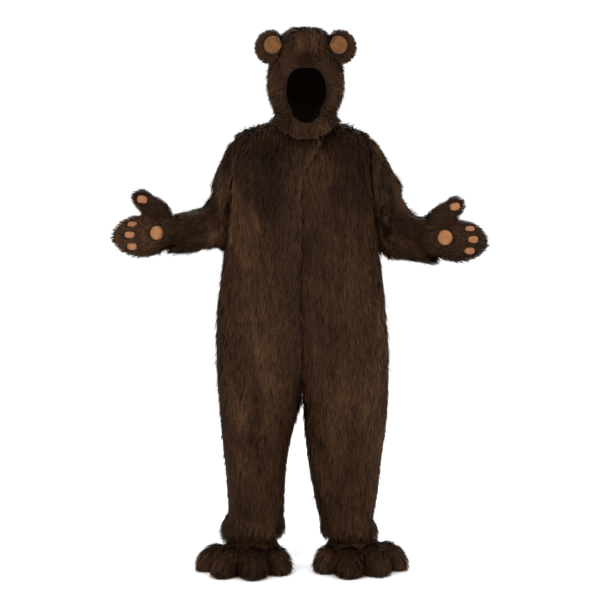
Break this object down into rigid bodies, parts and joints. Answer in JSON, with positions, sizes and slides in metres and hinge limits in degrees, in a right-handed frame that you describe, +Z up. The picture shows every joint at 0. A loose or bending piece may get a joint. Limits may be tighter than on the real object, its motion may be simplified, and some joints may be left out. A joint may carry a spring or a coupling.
{
  "type": "bear costume",
  "caption": "Adult long-pile fur bear costume, as worn and hollow: jumpsuit with a hidden front zip, hood with round ears and a face opening, mitts with pads and toed shoe covers.",
  "frame": {"origin": "at the wearer's shoulders, midway between them, level with the middle of the neck's base, where the suit hangs on the wearer", "axes": "+Z up towards the hood, -Y out of the front, +X towards the wearer's left hand"},
  "size_m": [1.1968, 0.4378, 1.789],
  "materials": {
    "fur": "long-pile brown acrylic fur cloth",
    "pad_plush": "short tan plush",
    "ear_felt": "tan felt",
    "sole_cloth": "coarse brown woven sole cloth",
    "zip_tape": "woven polyester tape"
  },
  "bodies": {
    "root": {"front_left": "fur", "front_right": "fur", "back_left": "fur", "back_right": "fur", "sleeve_left": "fur", "sleeve_right": "fur", "hood_left": "fur", "hood_right": "fur", "hood_centre": "fur", "hood_chin": "fur", "ear_left": "fur", "ear_right": "fur", "mitt_palm_left": "fur", "mitt_palm_right": "fur", "mitt_back_left": "fur", "mitt_back_right": "fur", "cover_left": "fur", "cover_right": "fur", "toe_1_left": "fur", "toe_1_right": "fur", "toe_2_left": "fur", "toe_2_right": "fur", "toe_3_left": "fur", "toe_3_right": "fur", "toe_4_left": "fur", "toe_4_right": "fur", "pad_palm_left": "pad_plush", "pad_palm_right": "pad_plush", "pad_thumb_left": "pad_plush", "pad_thumb_right": "pad_plush", "pad_finger_1_left": "pad_plush", "pad_finger_1_right": "pad_plush", "pad_finger_2_left": "pad_plush", "pad_finger_2_right": "pad_plush", "pad_finger_3_left": "pad_plush", "pad_finger_3_right": "pad_plush", "ear_inner_left": "ear_felt", "ear_inner_right": "ear_felt", "sole_left": "sole_cloth", "sole_right": "sole_cloth", "zip_tape": "zip_tape"}
  },
  "joints": []
}
